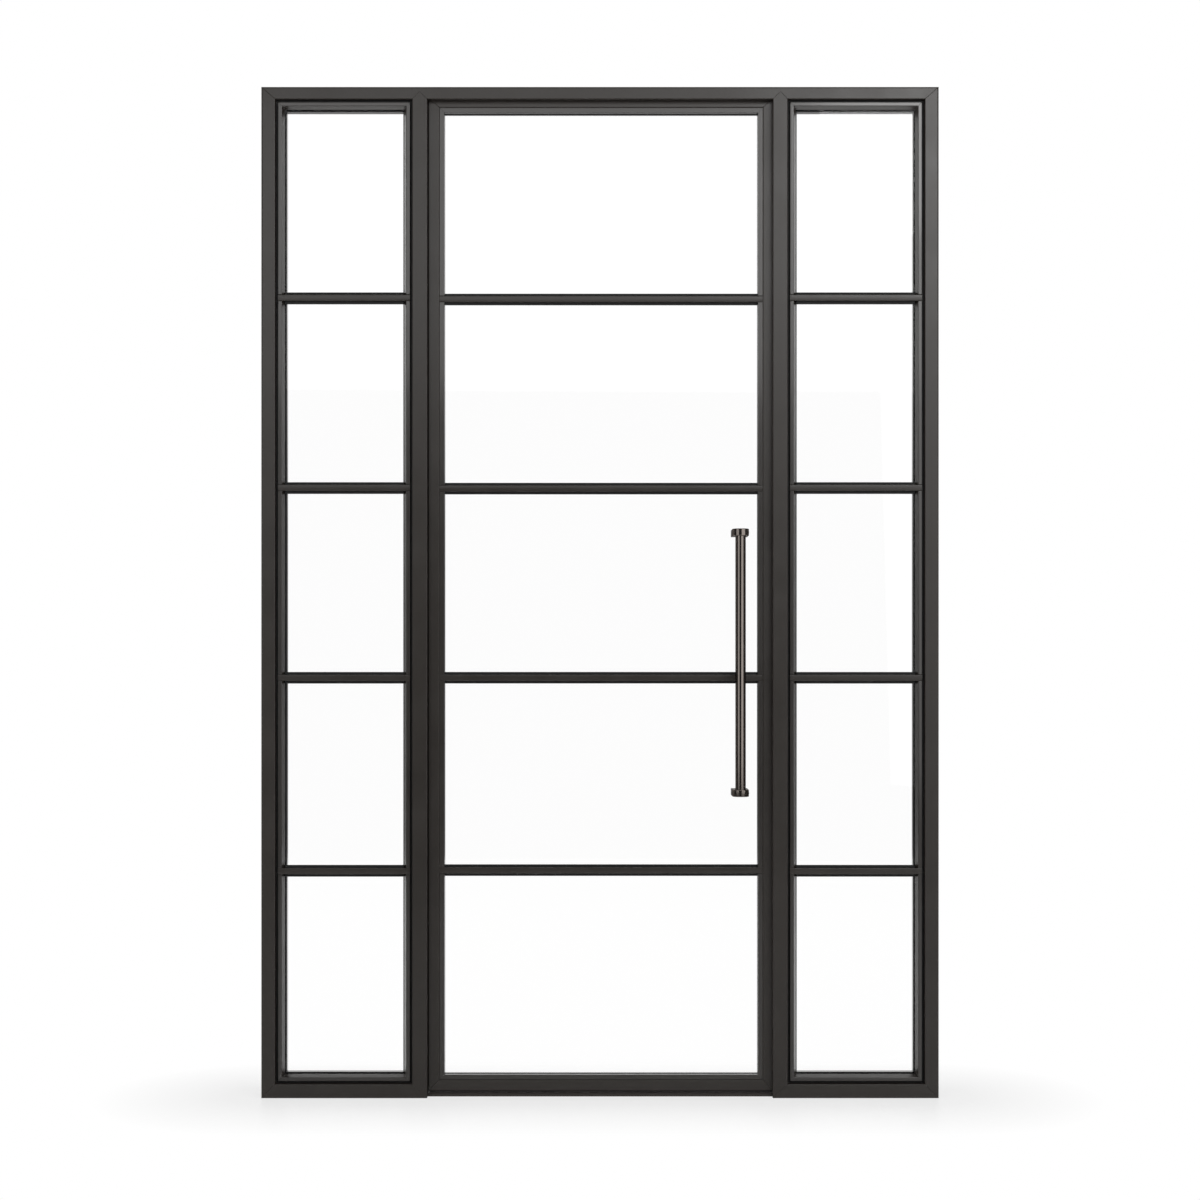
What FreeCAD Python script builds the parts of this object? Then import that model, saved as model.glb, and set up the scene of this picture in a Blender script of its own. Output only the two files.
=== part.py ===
import FreeCAD, Part
import os
import re
import Sketcher

# A steel entrance: one hung glass door between two fixed sidelights, all in one welded frame.
# Seen from the front, X runs to the right, Y runs away from the viewer and Z runs up.
# The origin is the middle of the threshold's underside, so the floor is at Z = 0.

SIZES = {
    # Outer frame, welded from cold-rolled steel sections.
    "frame_width": 1635,
    "frame_height": 2440,
    "frame_depth": 60,
    "jamb_face": 34,
    "mullion_face": 36,
    "head_face": 30,
    "rail_face": 34,
    "doorway_width": 834,
    # Rebate behind the head and the lock mullion that the closed leaf shuts into.
    "leaf_setback": 22,
    "stop_gap": 5,
    "hinge_rebate": 4,
    "hinge_gap": 5,
    "head_cover": 12,
    "lock_cover": 4.5,
    "head_clearance": 5,
    "lock_clearance": 7,
    "threshold_height": 8.5,
    "threshold_setback": 21,
    "threshold_gap": 5,
    # Door leaf.
    "leaf_depth": 38,
    "leaf_face": 27,
    # Glass and its dry glazing.
    "glass_thickness": 10,
    "gasket_thickness": 2,
    "mitre_gap": 0.2,
    "seat_clearance": 0.2,
    # Glazing of the leaf: a narrow bead on each side of the glass.
    "leaf_bead_width": 12,
    "leaf_bead_setback": 2,
    "leaf_glass_edge": 1.5,
    # Glazing of the sidelights: a stop behind a shadow groove, and a wider bead at the back.
    "shadow_groove": 6,
    "stop_width": 9,
    "stop_setback": 6,
    "stop_flank": 6.5,
    "stop_web": 3,
    "side_glass_setback": 22,
    "side_glass_edge": 3,
    "rear_bead_width": 24,
    "rear_bead_depth": 20,
    # Glazing bars, at the same levels in the leaf and the sidelights.
    "bar_nose": 15,
    "bar_nose_depth": 8,
    "bar_base": 28,
    "bar_back": 19,
    "bar_back_setback": 4,
    "bar_tape_margin": 2,
    "top_light_height": 478,
    "bar_pitch": 459,
    "lowest_bar_drop": 467,
    # Pull handle, one bar on two brackets bolted through the glass.
    "handle_bar_diameter": 25,
    "handle_inset": 84,
    "handle_top_drop": 101,
    "handle_foot_height": 182,
    "bracket_width": 40,
    "bracket_thickness": 17,
    "bracket_reach": 57,
    "bracket_socket": 10,
    "stud_diameter": 8,
    "stud_engagement": 20,
    "glass_hole": 14,
    "washer_thickness": 1,
    "washer_margin": 1,
    "rear_cap_diameter": 18,
    "rear_cap_thickness": 3,
    "cap_nut_diameter": 14,
    "cap_nut_height": 7,
    # Lift-off barrel hinges behind the leaf.
    "hinge_axis_inset": 2.5,
    "hinge_axis_standoff": 8,
    "hinge_barrel": 14,
    "hinge_knuckle": 60,
    "hinge_knuckle_gap": 0.5,
    "hinge_pin": 8,
    "hinge_pin_clearance": 0.2,
    "hinge_pin_depth": 50,
    "hinge_tab_width": 24,
    "hinge_tab_thickness": 4,
    "hinge_end_distance": 200,
    # Rubber weather seals that the closed leaf nearly touches.
    "seal_clearance": 0.3,
    "seal_lip": 1.5,
    "head_seal_width": 6,
    "lock_seal_width": 4.5,
    "hinge_seal_width": 8,
    "hinge_seal_setback": 4,
}

# Places worked out from the sizes. Each is a plain sum of the names above or of one another.
PLACES = {
    # Frame.
    "frame_left": "-frame_width / 2",
    "frame_right": "frame_width / 2",
    "frame_front": "-frame_depth / 2",
    "frame_back": "frame_depth / 2",
    "head_under": "frame_height - head_face",
    "jamb_inner_left": "frame_left + jamb_face",
    "jamb_inner_right": "frame_right - jamb_face",
    "doorway_left": "-doorway_width / 2",
    "doorway_right": "doorway_width / 2",
    "hinge_mullion_left": "doorway_left - mullion_face",
    "lock_mullion_right": "doorway_right + mullion_face",
    "mullion_point": "head_under + mullion_face / 2",
    # Leaf.
    "leaf_front": "frame_front + leaf_setback",
    "leaf_back": "leaf_front + leaf_depth",
    "leaf_left": "rebate_left + hinge_gap",
    "leaf_right": "doorway_right + lock_cover",
    "leaf_bottom": "threshold_height + threshold_gap",
    "leaf_top": "head_under + head_cover",
    "leaf_open_left": "leaf_left + leaf_face",
    "leaf_open_right": "leaf_right - leaf_face",
    "leaf_open_bottom": "leaf_bottom + leaf_face",
    "leaf_open_top": "leaf_top - leaf_face",
    # Rebate for the leaf.
    "rebate_front": "leaf_front - stop_gap",
    "rebate_left": "doorway_left - hinge_rebate",
    "rebate_right": "leaf_right + lock_clearance",
    "rebate_top": "leaf_top + head_clearance",
    # Glass of the leaf, in the middle of its depth.
    "leaf_glass_front": "leaf_front + (leaf_depth - glass_thickness) / 2",
    "leaf_glass_back": "leaf_glass_front + glass_thickness",
    "leaf_bead_front": "leaf_front + leaf_bead_setback",
    "leaf_bead_back": "leaf_back - leaf_bead_setback",
    # Glass of the sidelights.
    "side_glass_front": "frame_front + side_glass_setback",
    "side_glass_back": "side_glass_front + glass_thickness",
    "side_stop_front": "frame_front + stop_setback",
    "side_bead_back": "side_glass_back + gasket_thickness + rear_bead_depth",
    # Levels of the glazing bars.
    "bar_level_top": "head_under - top_light_height",
    "bar_level_upper": "bar_level_top - bar_pitch",
    "bar_level_middle": "bar_level_upper - bar_pitch",
    "bar_level_low": "bar_level_middle - lowest_bar_drop",
    # Handle.
    "handle_x": "leaf_right - handle_inset",
    "handle_top": "bar_level_upper - handle_top_drop",
    "handle_bottom": "bar_level_low + handle_foot_height",
    "handle_axis": "leaf_glass_front - washer_thickness - bracket_reach",
    "bracket_back": "leaf_glass_front - washer_thickness",
    "rear_cap_front": "leaf_glass_back + washer_thickness",
    "rear_cap_back": "rear_cap_front + rear_cap_thickness",
    "low_bracket_top": "handle_bottom + bracket_thickness",
    "high_bracket_bottom": "handle_top - bracket_thickness",
    "low_stud_level": "handle_bottom + bracket_thickness / 2",
    "high_stud_level": "handle_top - bracket_thickness / 2",
    # Hinges.
    "hinge_x": "rebate_left + hinge_axis_inset",
    "hinge_y": "leaf_back + hinge_axis_standoff",
    "hinge_level_low": "leaf_bottom + hinge_end_distance",
    "hinge_level_high": "leaf_top - hinge_end_distance",
    "hinge_level_middle": "(hinge_level_low + hinge_level_high) / 2",
}

BAR_LEVELS = ["bar_level_low", "bar_level_middle", "bar_level_upper", "bar_level_top"]
HINGE_LEVELS = ["hinge_level_low", "hinge_level_middle", "hinge_level_high"]

doc = FreeCAD.newDocument("EntranceWithSidelights")
sheet = doc.addObject("Spreadsheet::Sheet", "Sizes")
for row, (alias, size) in enumerate(SIZES.items(), start=1):
    sheet.set(f"A{row}", alias)
    sheet.set(f"B{row}", str(size))
    sheet.setAlias(f"B{row}", alias)
doc.recompute()


def bound(text):
    """Write a sum of named sizes and places as an expression on the sheet."""
    def swap(match):
        word = match.group(0)
        if word in PLACES:
            return "(" + bound(PLACES[word]) + ")"
        if word in SIZES:
            return "Sizes." + word
        return word
    return re.sub(r"[a-z_]+", swap, text)


def number(text):
    """Work out a sum of named sizes and places."""
    return float(sheet.evalExpression(bound(text)))


def rectangle(left, right, bottom, top):
    """Four corners of an upright rectangle in the front view."""
    return [(left, bottom), (right, bottom), (right, top), (left, top)]


def mitred_sides(opening, outer, inner):
    """Four mitred lengths lining an opening, from one inset to another, as seen from the front."""
    left, right, bottom, top = opening
    low_outer = f"{bottom} + {outer}"
    low_inner = f"{bottom} + {inner}"
    high_outer = f"{top} - {outer}"
    high_inner = f"{top} - {inner}"
    sides = [
        [(f"{left} + {outer}", low_outer), (f"{right} - {outer}", low_outer),
         (f"{right} - {inner}", low_inner), (f"{left} + {inner}", low_inner)],
        [(f"{left} + {outer}", high_outer), (f"{right} - {outer}", high_outer),
         (f"{right} - {inner}", high_inner), (f"{left} + {inner}", high_inner)],
    ]
    for edge, sign in ((left, "+"), (right, "-")):
        sides.append([
            (f"{edge} {sign} {outer}", f"{low_outer} + mitre_gap"),
            (f"{edge} {sign} {inner}", f"{low_inner} + mitre_gap"),
            (f"{edge} {sign} {inner}", f"{high_inner} - mitre_gap"),
            (f"{edge} {sign} {outer}", f"{high_outer} - mitre_gap"),
        ])
    return sides


def bar_outlines(left, right, height):
    """One rectangle for each glazing bar, as seen from the front."""
    return [
        rectangle(left, right, f"{level} - {height} / 2", f"{level} + {height} / 2")
        for level in BAR_LEVELS
    ]


def new_body(label):
    """An empty body that may hold several solids."""
    body = doc.addObject("PartDesign::Body", label)
    body.Label = label
    body.AllowCompound = True
    return body


def front_sketch(body, outlines, depth, circles=()):
    """Outlines in a plane facing the front, at a depth, each corner held by two dimensions."""
    sketch = body.newObject("Sketcher::SketchObject", "Outline")
    plane = next(item for item in body.Origin.OriginFeatures if item.Role == "XZ_Plane")
    sketch.AttachmentSupport = [(plane, "")]
    sketch.MapMode = "FlatFace"
    sketch.setExpression(".AttachmentOffset.Base.z", bound(f"-({depth})"))
    origin_point = (-1, 1)
    for outline in outlines:
        first = sketch.GeometryCount
        corners = [FreeCAD.Vector(number(across), number(up), 0) for across, up in outline]
        count = len(corners)
        for index in range(count):
            line = Part.LineSegment(corners[index], corners[(index + 1) % count])
            sketch.addGeometry(line, False)
        for index in range(count):
            following = first + (index + 1) % count
            sketch.addConstraint(
                Sketcher.Constraint("Coincident", first + index, 2, following, 1))
        for index, (across, up) in enumerate(outline):
            for kind, text in (("DistanceX", across), ("DistanceY", up)):
                held = sketch.addConstraint(Sketcher.Constraint(
                    kind, *origin_point, first + index, 1, number(text)))
                sketch.setExpression(f"Constraints[{held}]", bound(text))
    for across, up, diameter in circles:
        centre = FreeCAD.Vector(number(across), number(up), 0)
        ring = sketch.addGeometry(
            Part.Circle(centre, FreeCAD.Vector(0, 0, 1), number(diameter) / 2), False)
        for kind, text in (("DistanceX", across), ("DistanceY", up)):
            held = sketch.addConstraint(
                Sketcher.Constraint(kind, *origin_point, ring, 3, number(text)))
            sketch.setExpression(f"Constraints[{held}]", bound(text))
        held = sketch.addConstraint(Sketcher.Constraint("Diameter", ring, number(diameter)))
        sketch.setExpression(f"Constraints[{held}]", bound(diameter))
    return sketch


def pad(body, outlines, near, far, circles=()):
    """Solid lengths from a near depth back to a far depth."""
    feature = body.newObject("PartDesign::Pad", "Section")
    feature.Profile = front_sketch(body, outlines, near, circles)
    feature.Reversed = True
    feature.setExpression("Length", bound(f"({far}) - ({near})"))
    return body


def pocket(body, outlines, near, far, lean=None):
    """Cuts from a near depth back to a far depth. With a lean, the walls close in by that much."""
    feature = body.newObject("PartDesign::Pocket", "Cut")
    feature.Profile = front_sketch(body, outlines, near)
    feature.setExpression("Length", bound(f"({far}) - ({near})"))
    if lean:
        feature.setExpression("TaperAngle", f"-atan({bound(lean)} / ({bound(f'({far}) - ({near})')}))")
    return body


def place(item, across, back, up):
    """Bind where a primitive stands."""
    for axis, text in (("x", across), ("y", back), ("z", up)):
        item.setExpression(f".Placement.Base.{axis}", bound(text))
    return item


def block(across, back, up):
    """A plain block between two places along each axis."""
    item = doc.addObject("Part::Box", "Block")
    for size, (low, high) in (("Length", across), ("Width", back), ("Height", up)):
        item.setExpression(size, bound(f"({high}) - ({low})"))
    return place(item, across[0], back[0], up[0])


def upright_rod(diameter, across, back, low, high):
    """A round bar standing on its end."""
    item = doc.addObject("Part::Cylinder", "Rod")
    item.setExpression("Radius", bound(f"({diameter}) / 2"))
    item.setExpression("Height", bound(f"({high}) - ({low})"))
    return place(item, across, back, low)


def through_rod(diameter, across, near, far, up):
    """A round bar lying front to back."""
    item = doc.addObject("Part::Cylinder", "Rod")
    item.setExpression("Radius", bound(f"({diameter}) / 2"))
    item.setExpression("Height", bound(f"({far}) - ({near})"))
    item.Placement.Rotation = FreeCAD.Rotation(FreeCAD.Vector(1, 0, 0), -90)
    return place(item, across, near, up)


def fuse(label, items):
    """Several solids as one object."""
    item = doc.addObject("Part::MultiFuse", label)
    item.Label = label
    item.Shapes = items
    return item


def cut(label, base, tool):
    """One solid with another taken out of it."""
    item = doc.addObject("Part::Cut", label)
    item.Label = label
    item.Base = base
    item.Tool = tool
    return item


# Outer frame. The head and jambs meet in mitres, and each mullion runs up into the head in a point.

def frame_head():
    body = new_body("head")
    outline = [
        ("frame_left", "frame_height"), ("frame_right", "frame_height"),
        ("jamb_inner_right", "head_under"),
        ("lock_mullion_right", "head_under"),
        ("doorway_right + mullion_face / 2", "mullion_point"),
        ("doorway_right", "head_under"),
        ("doorway_left", "head_under"),
        ("doorway_left - mullion_face / 2", "mullion_point"),
        ("hinge_mullion_left", "head_under"),
        ("jamb_inner_left", "head_under"),
    ]
    pad(body, [outline], "frame_front", "frame_back")
    rebate = rectangle("rebate_left", "rebate_right", "head_under", "rebate_top")
    return pocket(body, [rebate], "rebate_front", "frame_back")


def frame_jamb(label, outer, inner):
    outline = [
        (outer, "0"), (outer, "frame_height"),
        (inner, "head_under"), (inner, "rail_face"),
    ]
    return pad(new_body(label), [outline], "frame_front", "frame_back")


def frame_mullion(label, doorway_edge, sidelight_edge):
    outline = [
        (doorway_edge, "0"), (sidelight_edge, "rail_face"),
        (sidelight_edge, "head_under"),
        (f"({doorway_edge} + {sidelight_edge}) / 2", "mullion_point"),
        (doorway_edge, "head_under"),
    ]
    return pad(new_body(label), [outline], "frame_front", "frame_back")


def sidelight_rail(label, outer, jamb_inner, mullion_outer, doorway_edge):
    outline = [
        (outer, "0"), (jamb_inner, "rail_face"),
        (mullion_outer, "rail_face"), (doorway_edge, "0"),
    ]
    return pad(new_body(label), [outline], "frame_front", "frame_back")


frame_head()
frame_jamb("left_jamb", "frame_left", "jamb_inner_left")
frame_jamb("right_jamb", "frame_right", "jamb_inner_right")
hinge_mullion = frame_mullion("hinge_mullion", "doorway_left", "hinge_mullion_left")
lock_mullion = frame_mullion("lock_mullion", "doorway_right", "lock_mullion_right")
left_rail = sidelight_rail("left_bottom_rail", "frame_left", "jamb_inner_left",
                           "hinge_mullion_left", "doorway_left")
right_rail = sidelight_rail("right_bottom_rail", "frame_right", "jamb_inner_right",
                            "lock_mullion_right", "doorway_right")
for member, near, far, top in (
        (hinge_mullion, "rebate_left", "doorway_left", "mullion_point"),
        (left_rail, "rebate_left", "doorway_left", "rail_face"),
        (lock_mullion, "doorway_right", "rebate_right", "mullion_point"),
        (right_rail, "doorway_right", "rebate_right", "rail_face")):
    pocket(member, [rectangle(near, far, "0", top)], "rebate_front", "frame_back")
pad(new_body("threshold"),
    [rectangle("rebate_left", "rebate_right", "0", "threshold_height")],
    "frame_front + threshold_setback", "frame_back")


# Glazing shared by the leaf and the sidelights.

def gasket_outlines(opening, edge, inner, bar_width):
    """A ring with a strip under each bar: the outside, then one hole for each light."""
    left, right, bottom, top = opening
    outlines = [rectangle(f"{left} + {edge}", f"{right} - {edge}",
                          f"{bottom} + {edge}", f"{top} - {edge}")]
    half_strip = f"({bar_width} / 2 - bar_tape_margin)"
    lows = [f"{bottom} + {inner}"] + [f"{level} + {half_strip}" for level in BAR_LEVELS]
    highs = [f"{level} - {half_strip}" for level in BAR_LEVELS] + [f"{top} - {inner}"]
    for low, high in zip(lows, highs):
        outlines.append(rectangle(f"{left} + {inner}", f"{right} - {inner}", low, high))
    return outlines


def front_bars(label, nose_span, base_span, face, seat):
    """Stepped bars: a wide base on the gasket and a narrower nose standing off it."""
    body = new_body(label)
    shoulder = f"{face} + bar_nose_depth"
    pad(body, bar_outlines(*nose_span, "bar_nose"), face, shoulder)
    return pad(body, bar_outlines(*base_span, "bar_base"), shoulder, seat)


def notch_for_bars(body, left, right, face):
    """Where the noses of the front bars pass over the stops or beads."""
    notches = bar_outlines(left, right, "(bar_nose + 2 * seat_clearance)")
    return pocket(body, notches, face, f"{face} + bar_nose_depth + seat_clearance")


# Sidelights: an L-shaped stop behind a shadow groove, gasket, glass, gasket and rear bead.

def sidelight(side, left, right):
    opening = (left, right, "rail_face", "head_under")
    stop_face = "(shadow_groove + stop_width)"
    stop_inner = f"({stop_face} + stop_flank)"
    stop_back = "side_glass_front - gasket_thickness"
    bead_front = "side_glass_back + gasket_thickness"

    stops = new_body(f"{side}_front_stops")
    pad(stops, mitred_sides(opening, "0", stop_inner), f"{stop_back} - stop_web", stop_back)
    pad(stops, mitred_sides(opening, "shadow_groove", stop_inner), "side_stop_front", stop_back)
    flanks = rectangle(f"{left} + {stop_face}", f"{right} - {stop_face}",
                       f"rail_face + {stop_face}", f"head_under - {stop_face}")
    pocket(stops, [flanks], "side_stop_front", stop_back, lean="stop_flank")
    notch_for_bars(stops, left, right, "side_stop_front")

    pad(new_body(f"{side}_front_gasket"),
        gasket_outlines(opening, "side_glass_edge", stop_inner, "bar_base"),
        stop_back, "side_glass_front")
    pad(new_body(f"{side}_glass"),
        [rectangle(f"{left} + side_glass_edge", f"{right} - side_glass_edge",
                   "rail_face + side_glass_edge", "head_under - side_glass_edge")],
        "side_glass_front", "side_glass_back")
    pad(new_body(f"{side}_rear_gasket"),
        gasket_outlines(opening, "side_glass_edge", "rear_bead_width", "bar_back"),
        "side_glass_back", bead_front)
    pad(new_body(f"{side}_rear_beads"),
        mitred_sides(opening, "0", "rear_bead_width"), bead_front, "side_bead_back")

    nose_span = (f"{left} + shadow_groove", f"{right} - shadow_groove")
    base_span = (f"{left} + {stop_inner} + seat_clearance",
                 f"{right} - {stop_inner} - seat_clearance")
    front_bars(f"{side}_front_bars", nose_span, base_span, "side_stop_front", stop_back)
    back_span = (f"{left} + rear_bead_width + seat_clearance",
                 f"{right} - rear_bead_width - seat_clearance")
    pad(new_body(f"{side}_rear_bars"), bar_outlines(*back_span, "bar_back"),
        bead_front, "side_bead_back - bar_back_setback")


sidelight("left_sidelight", "jamb_inner_left", "hinge_mullion_left")
sidelight("right_sidelight", "lock_mullion_right", "jamb_inner_right")


# Door leaf: four mitred sections round one pane, with beads and bars on both sides.

def leaf_member(label, outline):
    return pad(new_body(label), [outline], "leaf_front", "leaf_back")


leaf_member("leaf_bottom_rail", [
    ("leaf_left", "leaf_bottom"), ("leaf_right", "leaf_bottom"),
    ("leaf_open_right", "leaf_open_bottom"), ("leaf_open_left", "leaf_open_bottom")])
leaf_member("leaf_top_rail", [
    ("leaf_left", "leaf_top"), ("leaf_right", "leaf_top"),
    ("leaf_open_right", "leaf_open_top"), ("leaf_open_left", "leaf_open_top")])
leaf_member("leaf_hinge_stile", [
    ("leaf_left", "leaf_bottom"), ("leaf_open_left", "leaf_open_bottom"),
    ("leaf_open_left", "leaf_open_top"), ("leaf_left", "leaf_top")])
leaf_member("leaf_lock_stile", [
    ("leaf_right", "leaf_bottom"), ("leaf_open_right", "leaf_open_bottom"),
    ("leaf_open_right", "leaf_open_top"), ("leaf_right", "leaf_top")])


def leaf_glazing():
    left = "leaf_open_left"
    right = "leaf_open_right"
    opening = (left, right, "leaf_open_bottom", "leaf_open_top")
    front_seat = "leaf_glass_front - gasket_thickness"
    back_seat = "leaf_glass_back + gasket_thickness"

    beads = new_body("leaf_front_beads")
    pad(beads, mitred_sides(opening, "0", "leaf_bead_width"), "leaf_bead_front", front_seat)
    notch_for_bars(beads, left, right, "leaf_bead_front")

    pad(new_body("leaf_front_gasket"),
        gasket_outlines(opening, "leaf_glass_edge", "leaf_bead_width", "bar_base"),
        front_seat, "leaf_glass_front")
    pad(new_body("leaf_glass"),
        [rectangle(f"{left} + leaf_glass_edge", f"{right} - leaf_glass_edge",
                   "leaf_open_bottom + leaf_glass_edge", "leaf_open_top - leaf_glass_edge")],
        "leaf_glass_front", "leaf_glass_back",
        circles=[("handle_x", "low_stud_level", "glass_hole"),
                 ("handle_x", "high_stud_level", "glass_hole")])
    pad(new_body("leaf_rear_gasket"),
        gasket_outlines(opening, "leaf_glass_edge", "leaf_bead_width", "bar_back"),
        "leaf_glass_back", back_seat)
    pad(new_body("leaf_rear_beads"),
        mitred_sides(opening, "0", "leaf_bead_width"), back_seat, "leaf_bead_back")

    base_span = (f"{left} + leaf_bead_width + seat_clearance",
                 f"{right} - leaf_bead_width - seat_clearance")
    front_bars("leaf_front_bars", (left, right), base_span, "leaf_bead_front", front_seat)
    pad(new_body("leaf_rear_bars"), bar_outlines(*base_span, "bar_back"),
        back_seat, "leaf_bead_back")


leaf_glazing()


# Pull handle: a round bar between two brackets, each held by a stud through the glass.

def handle_bracket(low, high, stud_level, socket_low, socket_high):
    """A flat arm with a round front, with a socket for the bar and a tapped hole at the back."""
    arm = block(("handle_x - bracket_width / 2", "handle_x + bracket_width / 2"),
                ("handle_axis", "bracket_back"), (low, high))
    front = upright_rod("bracket_width", "handle_x", "handle_axis", low, high)
    blank = fuse("BracketBlank", [arm, front])
    socket = upright_rod("handle_bar_diameter + 2 * seat_clearance",
                         "handle_x", "handle_axis", socket_low, socket_high)
    tapping = through_rod("stud_diameter", "handle_x",
                          "bracket_back - stud_engagement", "bracket_back", stud_level)
    return cut("Bracket", blank, fuse("BracketHoles", [socket, tapping]))


def handle():
    fuse("handle_brackets", [
        handle_bracket("handle_bottom", "low_bracket_top", "low_stud_level",
                       "low_bracket_top - bracket_socket", "low_bracket_top"),
        handle_bracket("high_bracket_bottom", "handle_top", "high_stud_level",
                       "high_bracket_bottom", "high_bracket_bottom + bracket_socket"),
    ])
    bar = upright_rod("handle_bar_diameter", "handle_x", "handle_axis",
                      "low_bracket_top - bracket_socket", "high_bracket_bottom + bracket_socket")
    bar.Label = "handle_bar"

    studs = []
    washers = []
    caps = []
    stud_end = "rear_cap_back + cap_nut_height / 2"
    half_pad_width = "(bracket_width / 2 - washer_margin)"
    half_pad_height = "(bracket_thickness / 2 - washer_margin)"
    for level in ("low_stud_level", "high_stud_level"):
        studs.append(through_rod("stud_diameter", "handle_x",
                                 "bracket_back - stud_engagement", stud_end, level))
        front_pad = block(
            (f"handle_x - {half_pad_width}", f"handle_x + {half_pad_width}"),
            ("bracket_back", "leaf_glass_front"),
            (f"{level} - {half_pad_height}", f"{level} + {half_pad_height}"))
        sleeve = through_rod("glass_hole - 2 * seat_clearance", "handle_x",
                             "bracket_back", "rear_cap_front", level)
        rear_pad = through_rod("rear_cap_diameter - 2 * washer_margin", "handle_x",
                               "leaf_glass_back", "rear_cap_front", level)
        bore = through_rod("stud_diameter + 2 * seat_clearance", "handle_x",
                           "bracket_back", "rear_cap_front", level)
        washers.append(cut("Washer", fuse("WasherBlank", [front_pad, sleeve, rear_pad]), bore))
        disc = through_rod("rear_cap_diameter", "handle_x",
                           "rear_cap_front", "rear_cap_back", level)
        nut = through_rod("cap_nut_diameter", "handle_x", "rear_cap_back",
                          "rear_cap_back + cap_nut_height", level)
        thread = through_rod("stud_diameter", "handle_x",
                             "rear_cap_front", stud_end, level)
        caps.append(cut("Cap", fuse("CapBlank", [disc, nut]), thread))
    fuse("handle_studs", studs)
    fuse("handle_washers", washers)
    fuse("handle_rear_caps", caps)


handle()


# Hinges: each is a lower knuckle on the frame, an upper one on the leaf and a loose pin in both.

def hinge_knuckle(tab_across, low, high, bore_low, bore_high):
    """A barrel welded to a flat tab, with a blind bore for the pin."""
    barrel = upright_rod("hinge_barrel", "hinge_x", "hinge_y", low, high)
    tab = block(tab_across, ("leaf_back", "leaf_back + hinge_tab_thickness"), (low, high))
    blank = fuse("KnuckleBlank", [barrel, tab])
    bore = upright_rod("hinge_pin + 2 * hinge_pin_clearance",
                       "hinge_x", "hinge_y", bore_low, bore_high)
    return cut("Knuckle", blank, bore)


def hinges():
    frame_side = []
    leaf_side = []
    pins = []
    for level in HINGE_LEVELS:
        frame_side.append(hinge_knuckle(
            ("hinge_x - hinge_tab_width", "hinge_x"),
            f"{level} - hinge_knuckle", level,
            f"{level} - hinge_pin_depth", level))
        leaf_bottom_face = f"{level} + hinge_knuckle_gap"
        leaf_side.append(hinge_knuckle(
            ("hinge_x", "hinge_x + hinge_tab_width"),
            leaf_bottom_face, f"{leaf_bottom_face} + hinge_knuckle",
            leaf_bottom_face, f"{leaf_bottom_face} + hinge_pin_depth"))
        pins.append(upright_rod("hinge_pin", "hinge_x", "hinge_y",
                                f"{level} - hinge_pin_depth", f"{level} + hinge_pin_depth"))
    fuse("hinge_frame_knuckles", frame_side)
    fuse("hinge_leaf_knuckles", leaf_side)
    fuse("hinge_pins", pins)


hinges()


# Weather seals: on the backs of the two stops, and in the gap at the hinge side.

def door_seals():
    low = "threshold_height"
    seal_back = "leaf_front - seal_clearance"
    top_low = "head_under + seal_lip"
    top_high = f"{top_low} + head_seal_width"
    lock_low = "doorway_right + seal_lip"
    lock_high = f"{lock_low} + lock_seal_width"
    hinge_high = "leaf_left - seal_clearance"
    hinge_near = "leaf_front + hinge_seal_setback"
    fuse("door_seals", [
        block((hinge_high, lock_high), ("rebate_front", seal_back), (top_low, top_high)),
        block((lock_low, lock_high), ("rebate_front", seal_back),
              (low, f"{top_low} - mitre_gap")),
        block(("rebate_left", hinge_high),
              (hinge_near, f"{hinge_near} + hinge_seal_width"), (low, "rebate_top")),
    ])


door_seals()


# The named sub-parts, each written to a file of its own.

NODES = [
    "head", "left_jamb", "right_jamb", "hinge_mullion", "lock_mullion",
    "left_bottom_rail", "right_bottom_rail", "threshold",
    "leaf_hinge_stile", "leaf_lock_stile", "leaf_top_rail", "leaf_bottom_rail",
    "handle_bar", "handle_brackets", "handle_studs", "handle_washers", "handle_rear_caps",
    "hinge_frame_knuckles", "hinge_leaf_knuckles", "hinge_pins", "door_seals",
]
for panel in ("left_sidelight", "right_sidelight"):
    NODES += [f"{panel}_front_stops", f"{panel}_rear_beads"]
NODES += ["leaf_front_beads", "leaf_rear_beads"]
for panel in ("left_sidelight", "right_sidelight", "leaf"):
    for piece in ("glass", "front_gasket", "rear_gasket", "front_bars", "rear_bars"):
        NODES.append(f"{panel}_{piece}")

doc.recompute()
for item in doc.Objects:
    if "Invalid" in item.State or "Error" in item.State:
        raise RuntimeError(f"{item.Label} could not be built: {item.State}")

os.makedirs("parts", exist_ok=True)
for node in NODES:
    shape = doc.getObjectsByLabel(node)[0].Shape
    if shape.isNull() or not shape.isValid() or not shape.Solids:
        raise RuntimeError(f"{node} is not a valid solid")
for node in NODES:
    shape = doc.getObjectsByLabel(node)[0].Shape
    shape.exportStep(f"parts/{node}.step")
    print(node, len(shape.Solids), "solids", round(shape.Volume / 1000, 1), "cm3")
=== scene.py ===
import math

import bmesh
import bpy
from mathutils import Matrix, Vector


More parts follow.
